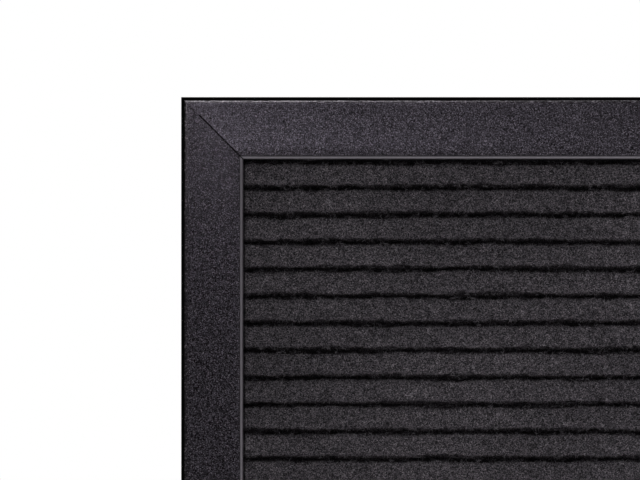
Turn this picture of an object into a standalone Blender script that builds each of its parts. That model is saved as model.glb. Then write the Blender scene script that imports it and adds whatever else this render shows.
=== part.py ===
"""Felt letter board, 254 mm square: four mitred rails round a grooved plate covered in one sheet of felt.

Metres. X runs across the board, Y from front to back and Z up from its lower edge.
"""

import math

import bmesh
import bpy
from mathutils import Matrix, Vector

# Whole board
BOARD_WIDTH = 0.254
BOARD_HEIGHT = 0.254

# Frame rail, seen in section
RAIL_FACE = 0.0145
RAIL_DEPTH = 0.018
RAIL_FRONT_ROUND = 0.0014
RAIL_BACK_ROUND = 0.0006
LIP_THICKNESS = 0.0018
LIP_ROUND = 0.00085
RABBET_WIDTH = 0.005

# Felt, and the slits that the letters' tabs go into
FELT_THICKNESS = 0.0007
GROOVE_PITCH = 0.00635
FIRST_GROOVE_DROP = 0.0003
SLIT_WIDTH = 0.0013
SLIT_DEPTH = 0.004
RIDGE_ROUND = 0.0009

# Plate under the felt, and the panel behind it
PLATE_BASE = 0.002
PLATE_END_RIB = 0.003
BACK_PANEL_THICKNESS = 0.003
BACK_PANEL_CHAMFER = 0.0005

# V-nails across the mitres
V_NAIL_SHEET = 0.0006
V_NAIL_LEG = 0.0042
V_NAIL_HEIGHT = 0.010
V_NAIL_SUNK = 0.0005
V_NAIL_OUTER = 0.0022
V_NAIL_INNER = 0.0056

# Flexible points that hold the panel in the rabbet
POINTS_PER_RAIL = 3
POINT_WIDTH = 0.0058
POINT_SHEET = 0.0005
POINT_REACH = 0.007
POINT_IN_WOOD = 0.006
POINT_TIP = 0.0022
POINT_CORNER = 0.001
POINT_FROM_CORNER = 0.045

# Sawtooth hanger and its nails
HANGER_LENGTH = 0.045
HANGER_HEIGHT = 0.007
HANGER_SHEET = 0.0007
HANGER_TAB = 0.007
HANGER_RAMP = 0.0025
HANGER_BULGE = 0.0011
TOOTH_PITCH = 0.003
TOOTH_DEPTH = 0.0014
TOOTH_TIP = 0.0003
NAIL_SHANK_RADIUS = 0.0007
NAIL_LENGTH = 0.010
NAIL_TIP = 0.0015
NAIL_HEAD_RADIUS = 0.0018
NAIL_HEAD_HEIGHT = 0.0006

# Bumpers that keep the lower edge as far off the wall as the hanger
BUMPER_RADIUS = 0.004
BUMPER_HEIGHT = 0.0022
BUMPER_ROUND = 0.0015
BUMPER_FROM_CORNER = 0.022

# Clearances
MITRE_GAP = 0.0002
SEAT_GAP = 0.0003
FIT_GAP = 0.00015
PANEL_PLAY = 0.0005

# How finely round stretches are faceted
RAIL_ROUND_STEPS = 8
RIDGE_ROUND_STEPS = 3
SLIT_FLOOR_STEPS = 4
BUMPER_ROUND_STEPS = 4
TURNED_STEPS = 24

# Colours and finishes: linear RGB, roughness, metallic
FINISHES = {
    "rail_foil": ((0.022, 0.020, 0.024), 0.42, 0.0),
    "felt": ((0.012, 0.011, 0.012), 0.95, 0.0),
    "plate_plastic": ((0.010, 0.010, 0.011), 0.55, 0.0),
    "hardboard": ((0.110, 0.060, 0.032), 0.75, 0.0),
    "steel": ((0.45, 0.45, 0.47), 0.35, 1.0),
    "bumper_rubber": ((0.015, 0.015, 0.016), 0.7, 0.0),
}

# Planes from front to back, as depths behind the frame's front face
FELT_FACE = LIP_THICKNESS + SEAT_GAP
SLIT_FLOOR = FELT_FACE + SLIT_DEPTH
RIB_FACE = FELT_FACE + FELT_THICKNESS + SEAT_GAP
SLOT_FLOOR = SLIT_FLOOR + FELT_THICKNESS + SEAT_GAP
PLATE_BACK = SLOT_FLOOR + PLATE_BASE
PANEL_FRONT = PLATE_BACK + SEAT_GAP
PANEL_BACK = PANEL_FRONT + BACK_PANEL_THICKNESS
POINT_FRONT = PANEL_BACK + SEAT_GAP
V_NAIL_BACK = RAIL_DEPTH - V_NAIL_SUNK
HARDWARE_PROUD = SEAT_GAP + max(
    BUMPER_HEIGHT, HANGER_BULGE + HANGER_SHEET, HANGER_SHEET + SEAT_GAP + NAIL_HEAD_HEIGHT
)

# The origin is under the middle of the board, half way through its depth
FRONT_Y = -(RAIL_DEPTH + HARDWARE_PROUD) / 2
BACK_Y = FRONT_Y + RAIL_DEPTH

# The rail behind its lip, and the room inside the frame
RAIL_BODY = RAIL_FACE - RABBET_WIDTH
SLOT_WIDTH = SLIT_WIDTH + 2 * (FELT_THICKNESS + SEAT_GAP)
OPENING_TOP = BOARD_HEIGHT - RAIL_FACE
PANEL_WIDTH = BOARD_WIDTH - 2 * (RAIL_BODY + PANEL_PLAY)
PANEL_BOTTOM = RAIL_BODY + PANEL_PLAY
PANEL_TOP = BOARD_HEIGHT - PANEL_BOTTOM

# Rails in turn, each a quarter turn on from the last: (name, length, middle of its outer edge in X and Z)
RAILS = [
    ("bottom", BOARD_WIDTH, (0.0, 0.0)),
    ("right", BOARD_HEIGHT, (BOARD_WIDTH / 2, BOARD_HEIGHT / 2)),
    ("top", BOARD_WIDTH, (0.0, BOARD_HEIGHT)),
    ("left", BOARD_HEIGHT, (-BOARD_WIDTH / 2, BOARD_HEIGHT / 2)),
]
CORNERS = ["bottom_left", "bottom_right", "top_right", "top_left"]


def clear_scene():
    for thing in list(bpy.data.objects):
        bpy.data.objects.remove(thing, do_unlink=True)


def finish(name):
    """The Principled material of one of the finishes, made the first time it is asked for."""
    if name in bpy.data.materials:
        return bpy.data.materials[name]
    colour, roughness, metallic = FINISHES[name]
    material = bpy.data.materials.new(name)
    material.use_nodes = True
    shader = material.node_tree.nodes["Principled BSDF"]
    shader.inputs["Base Color"].default_value = (*colour, 1.0)
    shader.inputs["Roughness"].default_value = roughness
    shader.inputs["Metallic"].default_value = metallic
    material.diffuse_color = (*colour, 1.0)
    return material


def put(name, mesh, material, place=None):
    """An object of this mesh, moved and turned by place."""
    thing = bpy.data.objects.new(name, mesh)
    bpy.context.scene.collection.objects.link(thing)
    if material:
        thing.data.materials.append(finish(material))
    if place:
        thing.location, thing.rotation_euler = place.to_translation(), place.to_euler()
    return thing


def hide_cutter(thing):
    thing.hide_render = True
    thing.display_type = "WIRE"


def cut(thing, cutter):
    """Takes a hidden object's shape out of a piece."""
    hide_cutter(cutter)
    modifier = thing.modifiers.new(cutter.name, "BOOLEAN")
    modifier.operation = "DIFFERENCE"
    modifier.solver = "EXACT"
    modifier.object = cutter


def to_mesh(name, shape):
    bmesh.ops.recalc_face_normals(shape, faces=shape.faces)
    mesh = bpy.data.meshes.new(name)
    shape.to_mesh(mesh)
    shape.free()
    return mesh


def add_prism(shape, outline, sweep):
    """Adds a closed solid to a bmesh: a flat outline of 3D points, swept along a vector."""
    face = shape.faces.new([shape.verts.new(point) for point in outline])
    swept = bmesh.ops.extrude_face_region(shape, geom=[face])
    ends = [item for item in swept["geom"] if isinstance(item, bmesh.types.BMVert)]
    bmesh.ops.translate(shape, vec=sweep, verts=ends)
    return ends


def add_turned(shape, profile, steps=TURNED_STEPS):
    """Adds a solid of revolution about Y: the profile's (radius, y) points run from axis to axis."""
    points = [shape.verts.new((radius, y, 0.0)) for radius, y in profile]
    edges = [shape.edges.new(pair) for pair in zip(points, points[1:])]
    bmesh.ops.spin(
        shape, geom=points + edges, cent=(0, 0, 0), axis=(0, 1, 0),
        angle=math.tau, steps=steps, use_merge=True,
    )
    bmesh.ops.remove_doubles(shape, verts=shape.verts, dist=0.00001)


def arc(centre, radius, start, end, steps):
    """Points of a round stretch, from one angle in degrees to another."""
    turns = [math.radians(start + (end - start) * k / steps) for k in range(steps + 1)]
    return [(centre[0] + radius * math.cos(a), centre[1] + radius * math.sin(a)) for a in turns]


def rail_place(k):
    """Turns the rail's own frame, X along it, Y back from its face and Z inward, to its side of the board."""
    _, _, (x, z) = RAILS[k]
    return Matrix.Translation((x, FRONT_Y, z)) @ Matrix.Rotation(-math.tau / 4 * k, 4, "Y")


def corner_place(k):
    """The frame of a corner: X along the rail that starts there, Z along the one that ends there."""
    _, length, _ = RAILS[k]
    return rail_place(k) @ Matrix.Translation((-length / 2, 0, 0))


def rail_section():
    """Outline of a rail: (depth behind the face, distance in from the outer edge)."""
    front, back, lip = RAIL_FRONT_ROUND, RAIL_BACK_ROUND, LIP_ROUND
    return [
        *arc((front, front), front, 270, 180, RAIL_ROUND_STEPS),
        *arc((lip, RAIL_FACE - lip), lip, 180, 90, RAIL_ROUND_STEPS),
        (LIP_THICKNESS, RAIL_FACE),
        (LIP_THICKNESS, RAIL_BODY),
        (RAIL_DEPTH, RAIL_BODY),
        *arc((RAIL_DEPTH - back, back), back, 0, -90, RAIL_ROUND_STEPS),
    ]


def rail_mesh(name, length):
    """A rail with both ends cut at 45 degrees: the end face is as far in as each point lies from the edge."""
    setback = MITRE_GAP / 2 * math.sqrt(2)
    shape = bmesh.new()
    start = [(-(length / 2 - inward - setback), depth, inward) for depth, inward in rail_section()]
    ends = add_prism(shape, start, (0, 0, 0))
    for vert in ends:
        vert.co.x = -vert.co.x
    return to_mesh(name, shape)


def v_nail_outline(corner_distance, grow=0.0):
    """The bent strip seen from the back, with its bend on the mitre: (X, Z) from the frame's outer corner."""
    near = corner_distance - grow
    far = corner_distance + V_NAIL_SHEET + grow
    tip = corner_distance + V_NAIL_LEG + grow
    return [(near, near), (tip, near), (tip, far), (far, far), (far, tip), (near, tip)]


def v_nail_solid(shape, corner_distance, front, back, grow=0.0):
    outline = [(x, front, z) for x, z in v_nail_outline(corner_distance, grow)]
    add_prism(shape, outline, (0, back - front, 0))


def make_v_nails():
    """Two V-nails a corner, driven from the back across the mitre, and the pockets that they sit in."""
    pockets = []
    for k, corner in enumerate(CORNERS):
        cutter = bmesh.new()
        for where, distance in (("outer", V_NAIL_OUTER), ("inner", V_NAIL_INNER)):
            nail = bmesh.new()
            v_nail_solid(nail, distance, V_NAIL_BACK - V_NAIL_HEIGHT, V_NAIL_BACK)
            name = f"v_nail_{corner}_{where}"
            put(name, to_mesh(name, nail), "steel", corner_place(k))
            past_back = RAIL_DEPTH + SEAT_GAP
            v_nail_solid(cutter, distance, V_NAIL_BACK - V_NAIL_HEIGHT - SEAT_GAP, past_back, FIT_GAP)
        name = f"v_nail_pockets_{corner}"
        pockets.append(put(name, to_mesh(name, cutter), None, corner_place(k)))
    return pockets


def point_outline(grow=0.0):
    """A flexible point from the back: (along the rail, inward from the rabbet's wall)."""
    half, tip, corner = POINT_WIDTH / 2 + grow, POINT_TIP, POINT_CORNER
    deep, reach = -POINT_IN_WOOD - grow, POINT_REACH + grow
    return [
        (-tip / 2, deep), (tip / 2, deep), (half, deep + half), (half, reach - corner),
        (half - corner, reach), (corner - half, reach), (-half, reach - corner), (-half, deep + half),
    ]


def point_solid(shape, along, front, sheet, grow=0.0):
    outline = [(along + x, front, RAIL_BODY + z) for x, z in point_outline(grow)]
    add_prism(shape, outline, (0, sheet, 0))


def point_stations(length):
    """Where along its rail each point is driven in."""
    first = POINT_FROM_CORNER - length / 2
    step = -2 * first / (POINTS_PER_RAIL - 1)
    return [first + step * k for k in range(POINTS_PER_RAIL)]


def make_points(k):
    """The points of one rail, and the slots that they sit in."""
    side, length, _ = RAILS[k]
    cutter = bmesh.new()
    for number, along in enumerate(point_stations(length), start=1):
        point = bmesh.new()
        point_solid(point, along, POINT_FRONT, POINT_SHEET)
        name = f"flexi_point_{side}_{number}"
        put(name, to_mesh(name, point), "steel", rail_place(k))
        point_solid(cutter, along, POINT_FRONT - FIT_GAP, POINT_SHEET + 2 * FIT_GAP, FIT_GAP)
    name = f"point_slots_{side}"
    return put(name, to_mesh(name, cutter), None, rail_place(k))


def hanger_place(x=0.0, back=0.0):
    """On the back of the top rail, half way up the rail behind its lip."""
    return Matrix.Translation((x, BACK_Y + SEAT_GAP + back, BOARD_HEIGHT - RAIL_BODY / 2))


def hanger_nail_x():
    return HANGER_LENGTH / 2 - HANGER_TAB / 2


def hanger_mesh():
    """The strip: two tabs flat on the rail, and between them a raised stretch, seen from above."""
    end, tab = HANGER_LENGTH / 2, HANGER_LENGTH / 2 - HANGER_TAB
    flat = tab - HANGER_RAMP
    near = [(-end, 0), (-tab, 0), (-flat, HANGER_BULGE), (flat, HANGER_BULGE), (tab, 0), (end, 0)]
    outline = near + [(x, y + HANGER_SHEET) for x, y in reversed(near)]
    shape = bmesh.new()
    add_prism(shape, [(x, y, -HANGER_HEIGHT / 2) for x, y in outline], (0, 0, HANGER_HEIGHT))
    return to_mesh("sawtooth_hanger", shape)


def hanger_cutter_mesh():
    """The notches along the strip's lower edge, one of them in its middle, and its two nail holes."""
    through = HANGER_BULGE + HANGER_SHEET + 2 * SEAT_GAP
    raised = HANGER_LENGTH - 2 * (HANGER_TAB + HANGER_RAMP)
    each_side = int((raised / TOOTH_PITCH - 1) / 2)
    half = (TOOTH_PITCH - TOOTH_TIP) / 2
    low, high = -HANGER_HEIGHT / 2 - SEAT_GAP, -HANGER_HEIGHT / 2 + TOOTH_DEPTH
    shape = bmesh.new()
    for k in range(-each_side, each_side + 1):
        x = k * TOOTH_PITCH
        notch = [(x - half, -SEAT_GAP, low), (x + half, -SEAT_GAP, low), (x, -SEAT_GAP, high)]
        add_prism(shape, notch, (0, through, 0))
    for side in (-1, 1):
        hole = Matrix.Translation((side * hanger_nail_x(), through / 2 - SEAT_GAP, 0))
        bmesh.ops.create_cone(
            shape, cap_ends=True, segments=TURNED_STEPS, depth=through,
            radius1=NAIL_SHANK_RADIUS + FIT_GAP, radius2=NAIL_SHANK_RADIUS + FIT_GAP,
            matrix=hole @ Matrix.Rotation(math.tau / 4, 4, "X"),
        )
    return to_mesh("hanger_notches", shape)


def nail_mesh():
    """A flat-headed nail along Y, its head's underside at 0 and its point towards the front."""
    shape = bmesh.new()
    add_turned(shape, [
        (0, NAIL_HEAD_HEIGHT), (NAIL_HEAD_RADIUS, NAIL_HEAD_HEIGHT), (NAIL_HEAD_RADIUS, 0),
        (NAIL_SHANK_RADIUS, 0), (NAIL_SHANK_RADIUS, NAIL_TIP - NAIL_LENGTH), (0, -NAIL_LENGTH),
    ])
    return to_mesh("hanger_nail", shape)


def nail_hole_mesh():
    """The hole that one hanger nail makes in the rail."""
    radius = NAIL_SHANK_RADIUS + FIT_GAP
    shape = bmesh.new()
    add_turned(shape, [
        (0, SEAT_GAP), (radius, SEAT_GAP), (radius, NAIL_TIP - NAIL_LENGTH - FIT_GAP),
        (0, -NAIL_LENGTH - FIT_GAP),
    ])
    return to_mesh("nail_hole", shape)


def make_hanger(top_rail):
    """The sawtooth hanger, nailed to the back of the top rail."""
    hanger = put("sawtooth_hanger", hanger_mesh(), "steel", hanger_place())
    cut(hanger, put("hanger_notches", hanger_cutter_mesh(), None, hanger_place()))
    head_seat = HANGER_SHEET + SEAT_GAP
    nail, hole = nail_mesh(), nail_hole_mesh()
    nail.materials.append(finish("steel"))
    for side, x in (("left", -hanger_nail_x()), ("right", hanger_nail_x())):
        place = hanger_place(x, head_seat)
        put(f"hanger_nail_{side}", nail, None, place)
        cut(top_rail, put(f"nail_hole_{side}", hole, None, place))


def make_bumpers():
    """Two domed rubber bumpers on the back of the bottom rail, near its ends."""
    shape = bmesh.new()
    low, high = BUMPER_HEIGHT - BUMPER_ROUND, BUMPER_RADIUS - BUMPER_ROUND
    add_turned(shape, [
        (0, BUMPER_HEIGHT), *arc((high, low), BUMPER_ROUND, 90, 0, BUMPER_ROUND_STEPS),
        (BUMPER_RADIUS, 0), (0, 0),
    ])
    dome = to_mesh("bumper", shape)
    dome.materials.append(finish("bumper_rubber"))
    for side, sign in (("left", -1), ("right", 1)):
        x = sign * (BOARD_WIDTH / 2 - BUMPER_FROM_CORNER)
        put(f"bumper_{side}", dome, None, Matrix.Translation((x, BACK_Y + SEAT_GAP, RAIL_BODY / 2)))


def groove_centres():
    """Heights of the grooves. The first is just below the top of the opening, partly under the lip."""
    first = OPENING_TOP - FIRST_GROOVE_DROP
    lowest = PANEL_BOTTOM + PLATE_END_RIB + SLOT_WIDTH / 2
    count = int((first - lowest) / GROOVE_PITCH) + 1
    return [first - GROOVE_PITCH * k for k in range(count)]


def felt_line(offset):
    """The felt's front line, or the line that lies offset behind it, from top to bottom: (Z, depth)."""
    wall = SLIT_WIDTH / 2 + offset
    shoulder = max(RIDGE_ROUND - offset, FIT_GAP)
    face = FELT_FACE + offset
    floor = SLIT_FLOOR + offset
    line = [(PANEL_TOP, face)]
    for z in groove_centres():
        line += arc((z + wall + shoulder, face + shoulder), shoulder, 270, 180, RIDGE_ROUND_STEPS)
        line += arc((z, floor - wall), wall, 0, 180, SLIT_FLOOR_STEPS)
        line += arc((z - wall - shoulder, face + shoulder), shoulder, 0, -90, RIDGE_ROUND_STEPS)
    line.append((PANEL_BOTTOM, face))
    return line


def make_felt_sheet():
    """One sheet of felt, tucked into every groove of the plate and out again."""
    section = felt_line(0.0) + felt_line(FELT_THICKNESS)[::-1]
    shape = bmesh.new()
    side = -PANEL_WIDTH / 2
    add_prism(shape, [(side, FRONT_Y + depth, z) for z, depth in section], (PANEL_WIDTH, 0, 0))
    put("felt_sheet", to_mesh("felt_sheet", shape), "felt")


def plate_section():
    """Outline of the grooved plate: (Z, depth)."""
    line = [(PANEL_TOP, RIB_FACE)]
    for z in groove_centres():
        high, low = z + SLOT_WIDTH / 2, z - SLOT_WIDTH / 2
        line += [(high, RIB_FACE), (high, SLOT_FLOOR), (low, SLOT_FLOOR), (low, RIB_FACE)]
    return line + [(PANEL_BOTTOM, RIB_FACE), (PANEL_BOTTOM, PLATE_BACK), (PANEL_TOP, PLATE_BACK)]


def make_groove_plate():
    """The stiff plate whose ribs and slots give the felt its form."""
    shape = bmesh.new()
    side = -PANEL_WIDTH / 2
    add_prism(shape, [(side, FRONT_Y + depth, z) for z, depth in plate_section()], (PANEL_WIDTH, 0, 0))
    put("groove_plate", to_mesh("groove_plate", shape), "plate_plastic")


def make_back_panel():
    """The hardboard panel that closes the back, under the points."""
    shape = bmesh.new()
    size = Vector((PANEL_WIDTH, BACK_PANEL_THICKNESS, PANEL_TOP - PANEL_BOTTOM))
    bmesh.ops.create_cube(shape, size=1.0, matrix=Matrix.Diagonal((*size, 1.0)))
    bmesh.ops.bevel(
        shape, geom=shape.edges, offset=BACK_PANEL_CHAMFER, segments=1, profile=0.5,
        affect="EDGES", material=-1,
    )
    middle = FRONT_Y + (PANEL_FRONT + PANEL_BACK) / 2
    place = Matrix.Translation((0, middle, BOARD_HEIGHT / 2))
    put("back_panel", to_mesh("back_panel", shape), "hardboard", place)


def make_frame():
    """Four rails with mitred ends, and the nails and points that go into them."""
    pockets = make_v_nails()
    rails = {}
    for k, (side, length, _) in enumerate(RAILS):
        name = f"frame_rail_{side}"
        rail = put(name, rail_mesh(name, length), "rail_foil", rail_place(k))
        cut(rail, pockets[k])
        cut(rail, pockets[(k + 1) % len(RAILS)])
        cut(rail, make_points(k))
        rails[side] = rail
    return rails


clear_scene()
frame_rails = make_frame()
make_groove_plate()
make_felt_sheet()
make_back_panel()
make_hanger(frame_rails["top"])
make_bumpers()
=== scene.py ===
"""Felt letter board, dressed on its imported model.

Metres. The board stands on its lower edge with its felt facing -Y, X to the right and Z up.
"""

import math
import random

import bmesh
import bpy
from mathutils import Matrix, Vector, noise


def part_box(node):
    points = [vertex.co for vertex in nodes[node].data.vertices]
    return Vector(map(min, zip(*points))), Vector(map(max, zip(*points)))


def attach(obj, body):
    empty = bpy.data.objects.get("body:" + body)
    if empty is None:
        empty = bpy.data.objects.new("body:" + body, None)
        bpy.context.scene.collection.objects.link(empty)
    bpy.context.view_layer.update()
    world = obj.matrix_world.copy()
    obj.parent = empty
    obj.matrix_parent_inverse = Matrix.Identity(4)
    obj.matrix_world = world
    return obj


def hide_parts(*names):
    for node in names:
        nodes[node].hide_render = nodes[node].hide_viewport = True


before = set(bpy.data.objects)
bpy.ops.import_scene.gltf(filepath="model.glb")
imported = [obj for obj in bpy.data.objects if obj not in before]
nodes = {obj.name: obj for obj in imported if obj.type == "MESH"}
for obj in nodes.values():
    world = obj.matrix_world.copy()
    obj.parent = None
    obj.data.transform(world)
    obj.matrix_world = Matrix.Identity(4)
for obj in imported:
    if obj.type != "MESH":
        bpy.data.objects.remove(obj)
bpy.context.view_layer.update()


# Frame rails
# Four lengths of wood-fibre moulding with 45 degree ends. Black foil with a fine embossed grain covers the
# face and the outer side; the rounded lip over the felt is smooth, and the back shows the bare brown board.
SIDES = ("bottom", "right", "top", "left")
TOP_RAIL, LEFT_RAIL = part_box("frame_rail_top"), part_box("frame_rail_left")
BOARD_LEFT, BOARD_RIGHT = LEFT_RAIL[0].x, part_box("frame_rail_right")[1].x
BOARD_BOTTOM, BOARD_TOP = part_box("frame_rail_bottom")[0].z, TOP_RAIL[1].z
FRONT, BACK = TOP_RAIL[0].y, TOP_RAIL[1].y
RAIL_FACE = LEFT_RAIL[1].x - LEFT_RAIL[0].x
OUTER_ROUND = 0.0014
LIP_ROUND = 0.00085
LIP_DEPTH = 0.0018
# Faces of the outer round nearer its edge than this take the side foil, nearly black: a painted shade for
# the dark that this turn reflects.
PAINTED_SHADE_BAND = 0.00084
# The pressed face: (distance in from the outer edge, depth behind the front).
FACE_PROFILE = (
    (OUTER_ROUND, 0.0), (0.0023, 0.00006), (0.0032, 0.000095), (0.0050, 0.00014), (0.0075, 0.000165),
    (0.0100, 0.00015), (0.0115, 0.000125), (0.0127, 0.0001), (0.01365, 0.0002), (0.0137, 0.00028),
    (0.01375, 0.0002),
)
# The seam from here to the lip's bead takes the side foil, nearly black: a painted shade for its crease.
SEAM_START = FACE_PROFILE[-3][0]
LIP_START, LIP_STEP = FACE_PROFILE[-1]
MITRE_SETBACK = BOARD_RIGHT - TOP_RAIL[1].x
# The mitre is closed this far in from the outer edge, and below this depth. The rest is an open hairline.
JOINT_CLOSED = 0.0042
JOINT_DEPTH = 0.0007
JOINT_RAMP = 0.0001
JOINT_HAIR = 0.000001
# Faces this close to the open mitre take the side foil, nearly black: a painted shade that widens the
# hairline.
JOINT_EDGE = 0.00009
SHARP_ANGLE, FLAT_ANGLE = math.radians(35), math.radians(1)
# Parts of a normal: past the first along the rail is a cut end, and below the others to the back is foil.
END_LEAN, BACK_LEAN, FACE_LEAN = 0.3, 0.5, 0.1
MERGE = 0.000002


def rail_place(k):
    """From a rail's own frame, X along it, Y back from its face and Z inward, to its side of the board."""
    centre_x, centre_z = (BOARD_LEFT + BOARD_RIGHT) / 2, (BOARD_BOTTOM + BOARD_TOP) / 2
    starts = (centre_x, BOARD_BOTTOM), (BOARD_RIGHT, centre_z), (centre_x, BOARD_TOP), (BOARD_LEFT, centre_z)
    x, z = starts[k]
    return Matrix.Translation((x, FRONT, z)) @ Matrix.Rotation(-math.tau / 4 * k, 4, "Y")


def rail_length(k):
    """The outer length of a side of the board."""
    return BOARD_RIGHT - BOARD_LEFT if k % 2 == 0 else BOARD_TOP - BOARD_BOTTOM


def split_at(shape, distance, direction):
    """Cuts a line right along the rail, at a distance in or back from its outer front edge."""
    everything = shape.verts[:] + shape.edges[:] + shape.faces[:]
    plane = [distance * part for part in direction]
    bmesh.ops.bisect_plane(shape, geom=everything, plane_co=plane, plane_no=direction, dist=MERGE)


def pressed_depth(inward, depth):
    """How deep a point of the face lies: a shallow hollow, a slope and a fine seam, then the lip's bead."""
    for (start, low), (end, high) in zip(FACE_PROFILE, FACE_PROFILE[1:]):
        if start < inward <= end + MERGE:
            return depth + low + (high - low) * (inward - start) / (end - start)
    return LIP_STEP + depth * (1 - LIP_STEP / LIP_ROUND) if inward > LIP_START else depth


def close_joint(shape, length):
    """Lets the mitre meet its neighbour, all but a shallow open hairline on the inner part of the face."""
    for vert in shape.verts:
        end = length / 2 - vert.co.z - MITRE_SETBACK
        closed = vert.co.z < JOINT_CLOSED + MERGE or vert.co.y > JOINT_DEPTH + JOINT_RAMP - MERGE
        if closed and abs(abs(vert.co.x) - end) < 5 * MERGE:
            vert.co.x += math.copysign(MITRE_SETBACK - JOINT_HAIR, vert.co.x)


def rail_zone(face, length):
    """The slot of a face: 0 foil, 1 lip, 2 side foil with painted shade on the outer turn, seam and joint, 3
    bare board, 4 outer round.
    """
    middle, normal = face.calc_center_median(), face.normal
    at_joint = length / 2 - abs(middle.x) - middle.z < MITRE_SETBACK + JOINT_EDGE
    # Cut ends and the outer turn take the side foil, which is painted nearly black at the front as painted
    # shade.
    if abs(normal.x) > END_LEAN or (middle.z < PAINTED_SHADE_BAND and normal.y < BACK_LEAN):
        return 2
    # Painted shade: the face beside the open part of the mitre is painted dark.
    if at_joint and JOINT_CLOSED < middle.z < SEAM_START and middle.y < JOINT_DEPTH:
        return 2
    if middle.y < LIP_DEPTH + MERGE and middle.z > SEAM_START and normal.y < BACK_LEAN:
        # The seam before the bead is painted dark, a painted shade; past it is the lip.
        return 1 if middle.z > LIP_START else 2
    if middle.y < OUTER_ROUND and normal.y < FACE_LEAN:
        return 4 if middle.z < OUTER_ROUND else 0
    return 3


def finished_mesh(shape, name):
    """The mesh of a shape that is done."""
    mesh = bpy.data.meshes.new(name)
    shape.to_mesh(mesh)
    shape.free()
    return mesh


def linked_object(name, data):
    """An object of the scene that shows a mesh, a lamp or the camera."""
    linked = bpy.data.objects.new(name, data)
    bpy.context.scene.collection.objects.link(linked)
    return linked


def dressed_rail(k, side):
    """A rail with its face pressed to shape, its mitres closed and a slot on each face."""
    shape = bmesh.new()
    shape.from_mesh(nodes[f"frame_rail_{side}"].data)
    bmesh.ops.remove_doubles(shape, verts=shape.verts, dist=MERGE)
    bmesh.ops.transform(shape, matrix=rail_place(k).inverted(), verts=shape.verts)
    bmesh.ops.dissolve_limit(shape, angle_limit=FLAT_ANGLE, verts=shape.verts, edges=shape.edges)
    profile_lines = [inward for inward, _ in FACE_PROFILE[1:]]
    for inward in (PAINTED_SHADE_BAND, JOINT_CLOSED, JOINT_CLOSED + JOINT_RAMP, *profile_lines):
        split_at(shape, inward, (0, 0, 1))
    for depth in (JOINT_DEPTH, JOINT_DEPTH + JOINT_RAMP):
        split_at(shape, depth, (0, 1, 0))
    for end in (1, -1):
        split_at(shape, (rail_length(k) / 2 - MITRE_SETBACK - JOINT_EDGE) / 2, (end, 0, 1))
    close_joint(shape, rail_length(k))
    for vert in shape.verts:
        if vert.co.y < LIP_ROUND and vert.co.z > OUTER_ROUND:
            vert.co.y = pressed_depth(vert.co.z, vert.co.y)
    bmesh.ops.recalc_face_normals(shape, faces=shape.faces)
    shape.normal_update()
    for edge in shape.edges:
        edge.smooth = edge.calc_face_angle(math.pi) < SHARP_ANGLE
    for face in shape.faces:
        face.material_index = rail_zone(face, rail_length(k))
        face.smooth = True
    bmesh.ops.transform(shape, matrix=rail_place(k), verts=shape.verts)
    return linked_object(f"rail_{side}", finished_mesh(shape, f"rail_{side}"))


def new_material(name, roughness, specular):
    """A Principled material with Object coordinates ready, as (material, tree, shader, coordinates)."""
    material = bpy.data.materials.new(name)
    material.use_nodes = True
    tree = material.node_tree
    shader = tree.nodes["Principled BSDF"]
    shader.inputs["Roughness"].default_value = roughness
    shader.inputs["Specular IOR Level"].default_value = specular
    place = tree.nodes.new("ShaderNodeTexCoord").outputs["Object"]
    return material, tree, shader, place


def stretched(tree, place, scale):
    """Coordinates multiplied by scale along X, Y and Z."""
    mapping = tree.nodes.new("ShaderNodeMapping")
    mapping.inputs["Scale"].default_value = scale
    tree.links.new(place, mapping.inputs["Vector"])
    return mapping.outputs["Vector"]


def speckle(tree, place, size, detail=2.0, distortion=0.0):
    """Noise whose features are about this size, in metres."""
    texture = tree.nodes.new("ShaderNodeTexNoise")
    texture.inputs["Scale"].default_value = 1 / size
    texture.inputs["Detail"].default_value = detail
    texture.inputs["Distortion"].default_value = distortion
    tree.links.new(place, texture.inputs["Vector"])
    return texture.outputs["Fac"]


def ramp(tree, value, *stops):
    """A colour ramp with (position, colour) stops."""
    node = tree.nodes.new("ShaderNodeValToRGB")
    points = node.color_ramp.elements
    while len(points) < len(stops):
        points.new(0.5)
    for point, (position, colour) in zip(points, stops):
        point.position, point.color = position, (*colour, 1.0)
    tree.links.new(value, node.inputs["Fac"])
    return node.outputs["Color"]


def surface(tree, shader, colour, texture, relief):
    """Gives a shader its colour, and its texture as a relief of this height in metres."""
    node = tree.nodes.new("ShaderNodeBump")
    node.inputs["Distance"].default_value = relief
    tree.links.new(texture, node.inputs["Height"])
    tree.links.new(node.outputs["Normal"], shader.inputs["Normal"])
    tree.links.new(colour, shader.inputs["Base Color"])


def grey(value):
    """A colour without hue."""
    return (value, value, value)


def cells(tree, place, size):
    """A random value from 0 to 1 for each cell about this large, in metres."""
    texture = tree.nodes.new("ShaderNodeTexVoronoi")
    texture.inputs["Scale"].default_value = 1 / size
    tree.links.new(place, texture.inputs["Vector"])
    split = tree.nodes.new("ShaderNodeSeparateColor")
    tree.links.new(texture.outputs["Color"], split.inputs["Color"])
    return split.outputs["Red"]


def mixed(tree, first, second, share):
    """A value between two, with this share of the second."""
    node = tree.nodes.new("ShaderNodeMix")
    node.inputs["Factor"].default_value = share
    tree.links.new(first, node.inputs["A"])
    tree.links.new(second, node.inputs["B"])
    return node.outputs["Result"]


def spread(tree, value, low, high):
    """A value stretched so that low gives 0 and high gives 1."""
    node = tree.nodes.new("ShaderNodeMapRange")
    node.inputs["From Min"].default_value, node.inputs["From Max"].default_value = low, high
    tree.links.new(value, node.inputs["Value"])
    return node.outputs["Result"]


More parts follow.
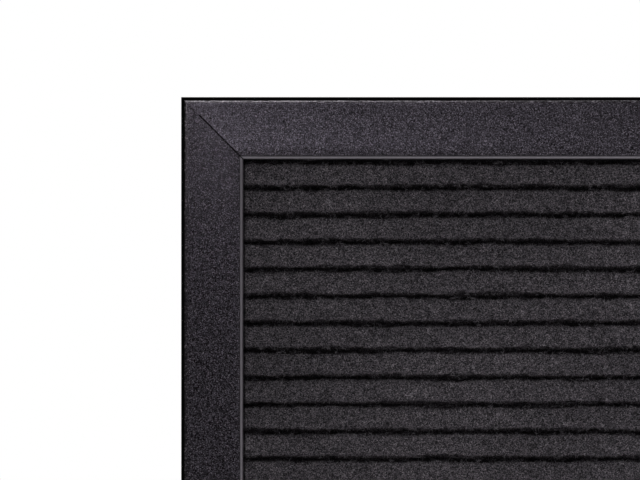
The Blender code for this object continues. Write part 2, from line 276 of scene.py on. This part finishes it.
def maths(tree, operation, first, second):
    """One sum on a socket and a second socket or number."""
    node = tree.nodes.new("ShaderNodeMath")
    node.operation = operation
    tree.links.new(first, node.inputs[0])
    if isinstance(second, float):
        node.inputs[1].default_value = second
    else:
        tree.links.new(second, node.inputs[1])
    return node.outputs["Value"]


def axes(tree, place):
    """The X, Y and Z of a place, each as a value."""
    node = tree.nodes.new("ShaderNodeSeparateXYZ")
    tree.links.new(place, node.inputs["Vector"])
    return node.outputs


FOIL_TONES = (
    (0.15, (0.0011, 0.0010, 0.0011)), (0.5, (0.0066, 0.0058, 0.0069)), (0.74, (0.020, 0.0177, 0.0208)),
    (0.86, (0.080, 0.071, 0.083)),
)
FACE_TINT, SMOOTH_TINT = (1.0, 0.895, 1.12, 1.0), (1.0, 0.935, 1.03, 1.0)
FOIL_GRAIN, FOIL_RELIEF = 0.00017, 0.00005
FOIL_DRAW = 0.6


def foil_material(name, smooth, rough, shine, tint, size, across=None):
    """Embossed black foil with a grain of this size, smooth in its hollows and rough on its ridges.

    Where it is drawn along a rail it spreads a highlight across that rail.
    """
    material, tree, shader, place = new_material(name, rough, shine)
    shader.inputs["Specular Tint"].default_value = tint
    if across:
        shader.inputs["Anisotropic"].default_value = FOIL_DRAW
        tangent = tree.nodes.new("ShaderNodeCombineXYZ")
        tangent.inputs[across].default_value = 1.0
        tree.links.new(tangent.outputs["Vector"], shader.inputs["Tangent"])
    grain = mixed(tree, cells(tree, place, size), speckle(tree, place, size * 1.3), 0.3)
    roughness = ramp(tree, grain, (0.28, grey(smooth)), (0.75, grey(rough)))
    tree.links.new(roughness, shader.inputs["Roughness"])
    dimples = speckle(tree, place, FOIL_GRAIN * 1.8)
    surface(tree, shader, ramp(tree, grain, *FOIL_TONES), dimples, FOIL_RELIEF)
    return material


def lip_painted_highlight_material():
    """The same foil pulled smooth over the lip's bead; its lighter base colour is in part a painted
    highlight on the bead.
    """
    material, tree, shader, place = new_material("lip_smooth_painted_highlight_foil", 0.42, 0.12)
    shader.inputs["Specular Tint"].default_value = SMOOTH_TINT
    mottle = speckle(tree, place, 0.004)
    # The base is lighter than the face foil: in part a painted highlight for the bright line along the bead.
    colour = ramp(tree, mottle, (0.3, (0.0160, 0.0144, 0.0168)), (0.7, (0.022, 0.0198, 0.0231)))
    surface(tree, shader, colour, speckle(tree, place, 0.0012), 0.00002)
    return material


def outer_side_and_painted_shade_material():
    """The dull foil on the outer side, painted nearly black where it turns to the face: a painted shade for
    the dark that the turn reflects.
    """
    material, tree, shader, place = new_material("outer_side_dull_and_painted_shade_foil", 0.7, 0.0)
    # Painted shade: 0 at the front turn, rising to 1 where the side's own dull foil shows.
    painted_shade_fade = spread(tree, axes(tree, place)["Y"], FRONT + OUTER_ROUND, FRONT + 3 * OUTER_ROUND)
    tone = maths(tree, "MULTIPLY", painted_shade_fade, speckle(tree, place, FOIL_GRAIN * 1.5))
    tones = (0.0, grey(0.0018)), (0.35, (0.0080, 0.0072, 0.0083)), (0.65, (0.022, 0.020, 0.023))
    colour = ramp(tree, tone, *tones)
    surface(tree, shader, colour, speckle(tree, place, FOIL_GRAIN), FOIL_RELIEF)
    return material


def bare_board_material():
    """Sawn wood-fibre board: pale brown with short darker fibres."""
    material, tree, shader, place = new_material("bare_fibreboard", 0.85, 0.25)
    fibres = speckle(tree, stretched(tree, place, (0.4, 1, 0.4)), 0.0004, detail=4.0, distortion=0.6)
    tones = (0.3, (0.16, 0.095, 0.05)), (0.55, (0.30, 0.20, 0.115)), (0.75, (0.40, 0.28, 0.17))
    colour = ramp(tree, fibres, *tones)
    surface(tree, shader, colour, fibres, 0.00008)
    return material


foils = [
    foil_material(f"face_foil_{across}", 0.14, 0.42, 0.053, FACE_TINT, FOIL_GRAIN, across)
    for across in ("Z", "X")
]
round_foil = foil_material("round_foil", 0.10, 0.28, 0.030, SMOOTH_TINT, FOIL_GRAIN * 2)
lip_painted_highlight_foil, outer_side_and_painted_shade_foil, bare_board = lip_painted_highlight_material(), outer_side_and_painted_shade_material(), bare_board_material()
for k, side in enumerate(SIDES):
    rail = dressed_rail(k, side)
    for material in (foils[k % 2], lip_painted_highlight_foil, outer_side_and_painted_shade_foil, bare_board, round_foil):
        rail.data.materials.append(material)
    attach(rail, "root")
    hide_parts(f"frame_rail_{side}")


# Steel fastenings
# V-nails across the mitres, the flexible points over the back panel, and the sawtooth hanger with its nails.
# All are zinc-plated sheet or wire, faintly rolled along their length.
def zinc_material():
    """Zinc plating, streaked along the rolled sheet and duller in patches."""
    material, tree, shader, place = new_material("zinc_plated_steel", 0.35, 0.5)
    shader.inputs["Metallic"].default_value = 1.0
    rolled = speckle(tree, stretched(tree, place, (0.12, 1, 1)), 0.0005, detail=3.0)
    colour = ramp(tree, rolled, (0.3, (0.36, 0.36, 0.37)), (0.7, (0.56, 0.56, 0.58)))
    roughness = ramp(tree, speckle(tree, place, 0.0015), (0.3, grey(0.28)), (0.7, grey(0.48)))
    tree.links.new(roughness, shader.inputs["Roughness"])
    surface(tree, shader, colour, rolled, 0.00002)
    return material


def wear(name, material):
    """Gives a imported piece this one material."""
    nodes[name].data.materials.clear()
    nodes[name].data.materials.append(material)


zinc = zinc_material()
for name in nodes:
    if name.startswith(("v_nail", "flexi_point", "hanger_nail", "sawtooth_hanger")):
        wear(name, zinc)


# Grooved plate
# One stiff sheet of black plastic with a rib and a slot for each line of letters. It lies hidden between the
# felt and the back panel, in the frame's rabbet.
def black_material(name, roughness, tones, mottle, dimple, relief):
    """Dull black plastic or rubber, mottled between two tones, with small dimples."""
    material, tree, shader, place = new_material(name, roughness, 0.4)
    dark, light = tones
    colour = ramp(tree, speckle(tree, place, mottle), (0.3, grey(dark)), (0.7, grey(light)))
    surface(tree, shader, colour, speckle(tree, place, dimple), relief)
    return material


wear("groove_plate", black_material("black_plastic_plate", 0.5, (0.008, 0.013), 0.003, 0.0006, 0.00003))


# Back panel
# Brown hardboard, smooth and a little mottled, lying in the rabbet behind the plate.
def multiplied(tree, first, second):
    """A colour darkened by a second one."""
    node = tree.nodes.new("ShaderNodeMix")
    node.data_type, node.blend_type = "RGBA", "MULTIPLY"
    node.inputs["Factor"].default_value = 1.0
    tree.links.new(first, node.inputs["A"])
    tree.links.new(second, node.inputs["B"])
    return node.outputs["Result"]


def hardboard_material():
    """Pressed wood fibre, mottled, with fine flecks."""
    material, tree, shader, place = new_material("brown_hardboard", 0.6, 0.4)
    mottle = speckle(tree, place, 0.006, detail=6.0, distortion=0.4)
    fibres = speckle(tree, place, 0.0007, detail=4.0, distortion=1.2)
    colour = ramp(tree, mottle, (0.32, (0.085, 0.045, 0.024)), (0.68, (0.15, 0.085, 0.046)))
    flecks = ramp(tree, fibres, (0.35, grey(0.72)), (0.6, grey(1.08)))
    surface(tree, shader, multiplied(tree, colour, flecks), fibres, 0.00005)
    return material


wear("back_panel", hardboard_material())


# Bumpers
# Two soft black rubber domes on the back of the bottom rail.
rubber = black_material("bumper_rubber", 0.6, (0.012, 0.02), 0.001, 0.0004, 0.00002)
for side in ("left", "right"):
    wear(f"bumper_{side}", rubber)


# Felt
# One sheet of short, fuzzy black felt, tucked into every slot of the plate and out again over its ribs. Its
# edges at the slits waver, because nothing but the plate holds them.
FELT_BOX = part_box("felt_sheet")
FELT_THICKNESS = 0.0007
GROOVE_PITCH = 0.00635
FIRST_GROOVE_DROP = 0.0003
FIRST_SLIT_SAG = 0.0003
SLIT_HALF = 0.0005
SLIT_DEPTH = 0.004
RIDGE_ROUND = 0.0011
PLATE_END_RIB = 0.003
SHOULDER_STEPS = 3
FLOOR_STEPS = 1
FELT_COLUMNS = 240
WAVER = 0.0003
# A slit's edge strays in waves: (length, step to the next slit, step to its other side, share of WAVER).
WAVES = ((0.013, 3.7, 0.6, 1.1), (0.0045, 5.3, 17.0, 1.0), (0.0019, 7.1, 23.0, 0.9))
PUFF, PUFF_LENGTH, PUFF_HEIGHT, PUFF_SEED = 0.00006, 0.006, 0.004, 3.0
# Painted shade: the felt darkens between these depths in a slit, and over this width beside the lip.
SLIT_PAINTED_SHADE, LIP_PAINTED_SHADE = (0.0002, 0.0013), 0.0007
OPENING_LEFT, OPENING_RIGHT = LEFT_RAIL[1].x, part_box("frame_rail_right")[0].x
OPENING_MIDDLE, OPENING_HALF = (OPENING_LEFT + OPENING_RIGHT) / 2, (OPENING_RIGHT - OPENING_LEFT) / 2


def groove_heights():
    """Heights of the slits, from the first, partly under the top lip, down."""
    first = BOARD_TOP - RAIL_FACE - FIRST_GROOVE_DROP
    lowest = FELT_BOX[0].z + PLATE_END_RIB + SLIT_HALF + FELT_THICKNESS
    count = int((first - lowest) / GROOVE_PITCH) + 1
    return [first - FIRST_SLIT_SAG] + [first - GROOVE_PITCH * k for k in range(1, count)]


def felt_line():
    """The front line of the felt from top to bottom: (height, depth behind the face, slit number, side)."""
    turns = [math.tau / 4 * step / SHOULDER_STEPS for step in range(SHOULDER_STEPS + 1)]
    shoulder = [
        (SLIT_HALF + RIDGE_ROUND * (1 - math.sin(turn)), RIDGE_ROUND * (1 - math.cos(turn)))
        for turn in turns
    ]
    bends = [math.pi * step / (FLOOR_STEPS + 1) for step in range(FLOOR_STEPS + 2)]
    fold = [(SLIT_HALF * math.cos(bend), SLIT_DEPTH - SLIT_HALF * (1 - math.sin(bend))) for bend in bends]
    line = [(FELT_BOX[1].z, 0.0, 0, 1)]
    for k, height in enumerate(groove_heights()):
        line += [(height + up, depth, k, 1) for up, depth in shoulder]
        line += [(height + up, depth, k, 0) for up, depth in fold]
        line += [(height - down, depth, k, -1) for down, depth in reversed(shoulder)]
    line.append((FELT_BOX[0].z, 0.0, len(groove_heights()) - 1, -1))
    return line


def waver(x, slit, side):
    """How far a slit's edge strays up or down at x."""
    return WAVER * sum(
        share * noise.noise((x / length, slit * next_slit, side * next_side))
        for length, next_slit, next_side, share in WAVES
    )


line = felt_line()
felt_shape = bmesh.new()
bmesh.ops.create_grid(felt_shape, x_segments=FELT_COLUMNS, y_segments=len(line) - 1, size=0.5)
for vert in felt_shape.verts:
    row = round((vert.co.y + 0.5) * (len(line) - 1))
    height, depth, slit, side = line[row]
    x = FELT_BOX[0].x + (vert.co.x + 0.5) * (FELT_BOX[1].x - FELT_BOX[0].x)
    puff = PUFF * noise.noise((x / PUFF_LENGTH, height / PUFF_HEIGHT, PUFF_SEED))
    vert.co = (x, FELT_BOX[0].y + depth + puff + PUFF, height + waver(x, slit, side))
for face in felt_shape.faces:
    face.smooth = True
bmesh.ops.recalc_face_normals(felt_shape, faces=felt_shape.faces)
felt = linked_object("felt", finished_mesh(felt_shape, "felt"))


def felt_material():
    """Curled fibres and tufts, with painted shade where the felt dips into a slit or under the lip."""
    material, tree, shader, place = new_material("fuzzy_black_felt", 1.0, 0.0)
    curls = speckle(tree, place, 0.00025, distortion=2.0)
    specks = mixed(tree, curls, cells(tree, place, 0.00019), 0.5)
    tufts = speckle(tree, place, 0.0020, detail=3.0, distortion=0.6)
    pile = speckle(tree, place, 0.045, detail=1.0)
    tone = mixed(tree, mixed(tree, specks, tufts, 0.22), pile, 0.12)
    colour = ramp(
        tree, tone, (0.32, (0.0055, 0.0050, 0.0056)), (0.50, (0.026, 0.0235, 0.0264)),
        (0.64, (0.076, 0.069, 0.077)), (0.74, (0.19, 0.172, 0.19)),
    )
    painted_shade_ragging = mixed(tree, speckle(tree, place, 0.0007, detail=3.0), speckle(tree, place, 0.0045), 0.3)
    across, back = axes(tree, place)["X"], axes(tree, place)["Y"]
    # Painted shade into each slit and beside the side lips, its edge ragged with noise.
    painted_slit_shade = spread(tree, back, FELT_BOX[0].y + SLIT_PAINTED_SHADE[0], FELT_BOX[0].y + SLIT_PAINTED_SHADE[1])
    off_middle = maths(tree, "ABSOLUTE", maths(tree, "SUBTRACT", across, OPENING_MIDDLE), 0.0)
    painted_lip_shade = spread(tree, off_middle, OPENING_HALF - LIP_PAINTED_SHADE, OPENING_HALF)
    shade = maths(tree, "ADD", maths(tree, "MAXIMUM", painted_slit_shade, painted_lip_shade), painted_shade_ragging)
    painted_shade_tone = ramp(tree, shade, (0.58, grey(1.0)), (0.90, grey(0.42)), (1.0, grey(0.3)))
    surface(tree, shader, multiplied(tree, colour, painted_shade_tone), curls, 0.0003)
    return material


felt.data.materials.append(felt_material())
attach(felt, "root")
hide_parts("felt_sheet")


# Fuzz
# Loose curled fibres of the felt, all over its ridges and thickest along the slits. They are spread in ready
# patches, one pitch high, that are turned about so that no two neighbours look alike.
FIBRE_WIDTH = 0.00007
FIBRE_LENGTHS = (0.0005, 0.0014)
FIBRE_SEGMENTS = 3
FIBRE_BEND = 2.2
FIBRE_LIFTS, FIBRE_RISES = (0.00003, 0.00012), (0.0, 0.00018)
PATCH_LENGTH = 0.010
PATCH_KINDS = 8
LIP_CLEARANCE = 0.0006
FACE_FIBRES, FACE_MARGIN = 44, 0.0005
EDGE_FIBRES, EDGE_STRAYS = 24, (-0.00015, 0.0006)
RIDGES_PER_PIECE = 12
RIDGE_HEIGHT = GROOVE_PITCH - 2 * SLIT_HALF
RIDGE_MARGIN = 0.1 * RIDGE_ROUND
DICE_SEED = 29


def ridge_depth(height):
    """How far the felt's surface lies behind the ridge's front at a height above the ridge's lower edge."""
    inward = min(max(height, RIDGE_MARGIN), RIDGE_HEIGHT - RIDGE_MARGIN)
    short = max(0.0, RIDGE_ROUND - min(inward, RIDGE_HEIGHT - inward))
    return RIDGE_ROUND - math.sqrt(RIDGE_ROUND ** 2 - short ** 2)


def add_fibre(shape, dice, height):
    """One flat curved fibre on a ridge, with its middle at this height."""
    length = dice.uniform(*FIBRE_LENGTHS)
    heading, bend = dice.uniform(0, math.tau), dice.uniform(-FIBRE_BEND, FIBRE_BEND)
    start = dice.uniform(0, PATCH_LENGTH)
    lift, rise = dice.uniform(*FIBRE_LIFTS), dice.uniform(*FIBRE_RISES)
    strip = bmesh.ops.create_grid(shape, x_segments=FIBRE_SEGMENTS, y_segments=1, size=0.5)["verts"]
    for vert in strip:
        along, across = vert.co.x, vert.co.y
        turn = heading + bend * along
        reach, side = length * along, FIBRE_WIDTH * across
        x = start + reach * math.cos(turn) - side * math.sin(turn)
        z = height + reach * math.sin(turn) + side * math.cos(turn)
        vert.co = (x, ridge_depth(z) - lift - rise * (1 - 4 * along * along), z)


def fuzz_patch(dice):
    """A stretch of fuzz on one ridge."""
    shape = bmesh.new()
    for _ in range(FACE_FIBRES):
        add_fibre(shape, dice, dice.uniform(FACE_MARGIN, RIDGE_HEIGHT - FACE_MARGIN))
    for _ in range(EDGE_FIBRES):
        stray = dice.uniform(*EDGE_STRAYS)
        add_fibre(shape, dice, stray)
        add_fibre(shape, dice, RIDGE_HEIGHT - stray)
    return finished_mesh(shape, "fuzz_patch")


def fuzz_material():
    """Black fibres, some of them paler."""
    material, tree, shader, place = new_material("loose_felt_fibres", 1.0, 0.0)
    tone = mixed(tree, cells(tree, place, 0.0008), speckle(tree, place, 0.0005), 0.4)
    colour = ramp(tree, tone, (0.25, (0.020, 0.018, 0.0205)), (0.75, (0.080, 0.074, 0.081)))
    surface(tree, shader, colour, speckle(tree, place, 0.0002), 0.00003)
    return material


dice = random.Random(DICE_SEED)
patches = [fuzz_patch(dice) for _ in range(PATCH_KINDS)]
loose_fibres = fuzz_material()
slits = groove_heights()
ridges = list(zip(slits[1:], slits))
patch_run = 2 * (OPENING_HALF - LIP_CLEARANCE)
patch_count = round(patch_run / PATCH_LENGTH)
patch_step = (patch_run - PATCH_LENGTH) / (patch_count - 1)
for first in range(0, len(ridges), RIDGES_PER_PIECE):
    fuzz_shape = bmesh.new()
    for slit_below, slit_above in ridges[first:first + RIDGES_PER_PIECE]:
        for k in range(patch_count):
            x = OPENING_MIDDLE + patch_step * (k - (patch_count - 1) / 2)
            middle = Vector((x, FELT_BOX[0].y, (slit_below + slit_above) / 2))
            turned = Matrix.Diagonal((dice.choice((-1, 1)), 1, dice.choice((-1, 1)), 1))
            centred = Matrix.Translation((-PATCH_LENGTH / 2, 0, -RIDGE_HEIGHT / 2))
            patch = dice.choice(patches).copy()
            patch.transform(Matrix.Translation(middle) @ turned @ centred)
            fuzz_shape.from_mesh(patch)
            bpy.data.meshes.remove(patch)
    name = f"felt_fuzz_{first // RIDGES_PER_PIECE + 1}"
    fuzz = linked_object(name, finished_mesh(fuzz_shape, name))
    fuzz.data.materials.append(loose_fibres)
    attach(fuzz, "root")


# Studio
# A pale floor and three softboxes: high on the left, low on the right, and one behind for the back. Five
# strips, two above, one on each side and one below, only show as highlights on the foil. The rest is an even
# light from all round.
VIEW_WIDTH = 0.1494
CAMERA_DISTANCE = 0.8
CAMERA_FROM_LEFT, CAMERA_FROM_TOP = 0.03246, 0.03341
SENSOR_WIDTH = 36.0
CORNER = (BOARD_LEFT, FRONT, BOARD_TOP)
HIGH_LEFT_EDGE, MIDDLE_EDGE = (-0.130, FRONT, BOARD_TOP), (0.02, FRONT, BOARD_TOP)
FLOOR_HALF = 1.2
WORLD_LIGHT = 0.45

camera_data = bpy.data.cameras.new("camera")
camera_data.sensor_width = SENSOR_WIDTH
camera_data.lens = SENSOR_WIDTH * CAMERA_DISTANCE / VIEW_WIDTH
camera = linked_object("camera", camera_data)
camera.location = (BOARD_LEFT + CAMERA_FROM_LEFT, FRONT - CAMERA_DISTANCE, BOARD_TOP - CAMERA_FROM_TOP)
camera.rotation_euler = (math.tau / 4, 0, 0)
bpy.context.scene.camera = camera


def softbox(name, place, target, size, power):
    """A lamp turned to its target, with its width and height and its power in watts. It isn't seen."""
    data = bpy.data.lights.new(name, "AREA")
    data.shape, data.size, data.size_y = "RECTANGLE", size[0], size[1]
    data.energy = power
    lamp = linked_object(name, data)
    lamp.location = place
    lamp.rotation_euler = (Vector(target) - Vector(place)).to_track_quat("-Z", "Y").to_euler()
    lamp.visible_camera = False
    return lamp


softbox("softbox_high_left", (-0.45, -0.75, 0.70), (-0.09, FRONT, 0.22), (0.45, 0.35), 0.4)
softbox("softbox_low_right", (0.22, -0.36, 0.12), (-0.03, FRONT, 0.20), (0.3, 0.2), 1.8)
softbox("softbox_behind", (0.5, 0.9, 0.8), (0.0, BACK, 0.12), (0.6, 0.6), 6.0)
strips = (
    softbox("highlight_above", (-0.143, FRONT - 0.51, 0.565), HIGH_LEFT_EDGE, (0.05, 0.28), 20.0),
    softbox("highlight_above_right", (0.14, FRONT - 0.30, 0.75), MIDDLE_EDGE, (0.3, 0.12), 16.0),
    softbox("highlight_left", (-0.175, FRONT - 0.19, 0.275), CORNER, (0.03, 0.03), 0.5),
    softbox("highlight_right", (0.58, FRONT - 0.36, 0.10), (-0.112, FRONT, 0.18), (0.4, 0.3), 4.6),
    softbox("highlight_below", (0.0, FRONT - 0.10, 0.04), (0.02, FRONT, 0.24), (0.4, 0.10), 2.9),
)
for strip in strips:
    strip.visible_diffuse = False

floor_shape = bmesh.new()
bmesh.ops.create_grid(floor_shape, x_segments=1, y_segments=1, size=FLOOR_HALF)
floor = linked_object("floor", finished_mesh(floor_shape, "floor"))
floor_material, floor_tree, floor_shader, floor_place = new_material("pale_floor", 0.9, 0.1)
floor_colour = ramp(floor_tree, speckle(floor_tree, floor_place, 0.2), (0.3, grey(0.80)), (0.7, grey(0.84)))
floor_tree.links.new(floor_colour, floor_shader.inputs["Base Color"])
floor.data.materials.append(floor_material)

world = bpy.data.worlds.new("world")
bpy.context.scene.world = world
world.use_nodes = True
world_tree = world.node_tree
background = world_tree.nodes["Background"]
rays = world_tree.nodes.new("ShaderNodeLightPath").outputs
seen_or_mirrored = maths(world_tree, "ADD", rays["Is Camera Ray"], rays["Is Glossy Ray"])
shown = maths(world_tree, "ADD", seen_or_mirrored, rays["Is Transmission Ray"])
strength = world_tree.nodes.new("ShaderNodeMapRange")
strength.inputs["To Min"].default_value, strength.inputs["To Max"].default_value = WORLD_LIGHT, 1.0
world_tree.links.new(shown, strength.inputs["Value"])
world_tree.links.new(strength.outputs["Result"], background.inputs["Strength"])
background.inputs["Color"].default_value = (1, 1, 1, 1)

bpy.context.scene.view_settings.view_transform = "Standard"
